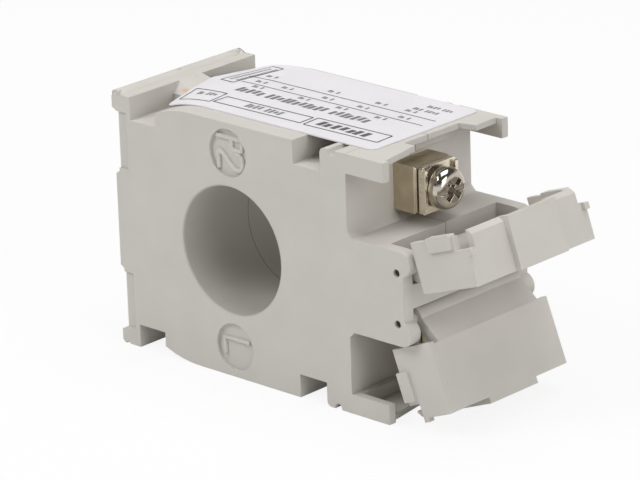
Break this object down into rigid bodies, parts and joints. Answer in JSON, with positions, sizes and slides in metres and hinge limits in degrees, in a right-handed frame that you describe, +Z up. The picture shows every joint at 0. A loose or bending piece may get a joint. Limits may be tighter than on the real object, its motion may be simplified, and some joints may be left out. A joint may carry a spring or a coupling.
{
  "type": "window-type current transformer",
  "caption": "Modular ring-core current transformer with a round primary window, a rail foot and hinged covers over its screw terminals.",
  "frame": {"origin": "on the axis of the primary window, where it meets the front face", "axes": "+Y along the window's axis from the front face to the rear face, +X from the mounting foot to the terminals, +Z up"},
  "size_m": [0.0802, 0.0303, 0.0446],
  "materials": {
    "housing": "fine matt, warm light grey",
    "label": "smooth white film",
    "terminal_metal": "nickel plated, satin",
    "spring_steel": "nickel plated",
    "screw_steel": "nickel plated, bright",
    "core_steel": "wound silicon steel strip",
    "core_cap": "matt black",
    "enamelled_wire": null,
    "tape": "yellow film tape",
    "sleeve": "white sleeving"
  },
  "bodies": {
    "housing": {"front_shell": "housing", "rear_shell": "housing", "rating_label": "label", "upper_terminal_block": "terminal_metal", "lower_terminal_block": "terminal_metal", "core": "core_steel", "front_core_cap": "core_cap", "rear_core_cap": "core_cap", "secondary_winding": "enamelled_wire", "winding_tape": "tape", "upper_lead_sleeve": "sleeve", "lower_lead_sleeve": "sleeve"},
    "upper_cover": {"upper_terminal_cover": "housing"},
    "lower_cover": {"lower_terminal_cover": "housing"},
    "upper_clamp": {"upper_clamp_plate": "terminal_metal", "upper_spring_washer": "spring_steel"},
    "lower_clamp": {"lower_clamp_plate": "terminal_metal", "lower_spring_washer": "spring_steel"},
    "upper_screw": {"upper_terminal_screw": "screw_steel"},
    "lower_screw": {"lower_terminal_screw": "screw_steel"}
  },
  "joints": [
    {"name": "upper_cover_hinge", "type": "hinge", "parent": "housing", "child": "upper_cover", "pos_m": [0.03635, 0.0154, 0.0043], "axis": [0, 1, 0], "range_deg": [-71.3, 10.7]},
    {"name": "lower_cover_hinge", "type": "hinge", "parent": "housing", "child": "lower_cover", "pos_m": [0.03635, 0.0154, -0.0043], "axis": [0, -1, 0], "range_deg": [-21.3, 60.7]},
    {"name": "upper_clamp_slide", "type": "slide", "parent": "housing", "child": "upper_clamp", "axis": [1, 0, 0], "range_m": [-0.00045, 0.0018]},
    {"name": "upper_screw_turn", "type": "hinge", "parent": "upper_clamp", "child": "upper_screw", "pos_m": [0.0327, 0.0154, 0.01375], "axis": [1, 0, 0], "range_deg": [-271, 1081]},
    {"name": "lower_clamp_slide", "type": "slide", "parent": "housing", "child": "lower_clamp", "axis": [1, 0, 0], "range_m": [-0.00045, 0.0018]},
    {"name": "lower_screw_turn", "type": "hinge", "parent": "lower_clamp", "child": "lower_screw", "pos_m": [0.0327, 0.0154, -0.01375], "axis": [1, 0, 0], "range_deg": [-271, 1081]}
  ],
  "couplings": [
    {"joint": "upper_screw_turn", "follows": "upper_clamp_slide", "rad_per_m": 10472},
    {"joint": "lower_screw_turn", "follows": "lower_clamp_slide", "rad_per_m": 10472}
  ]
}
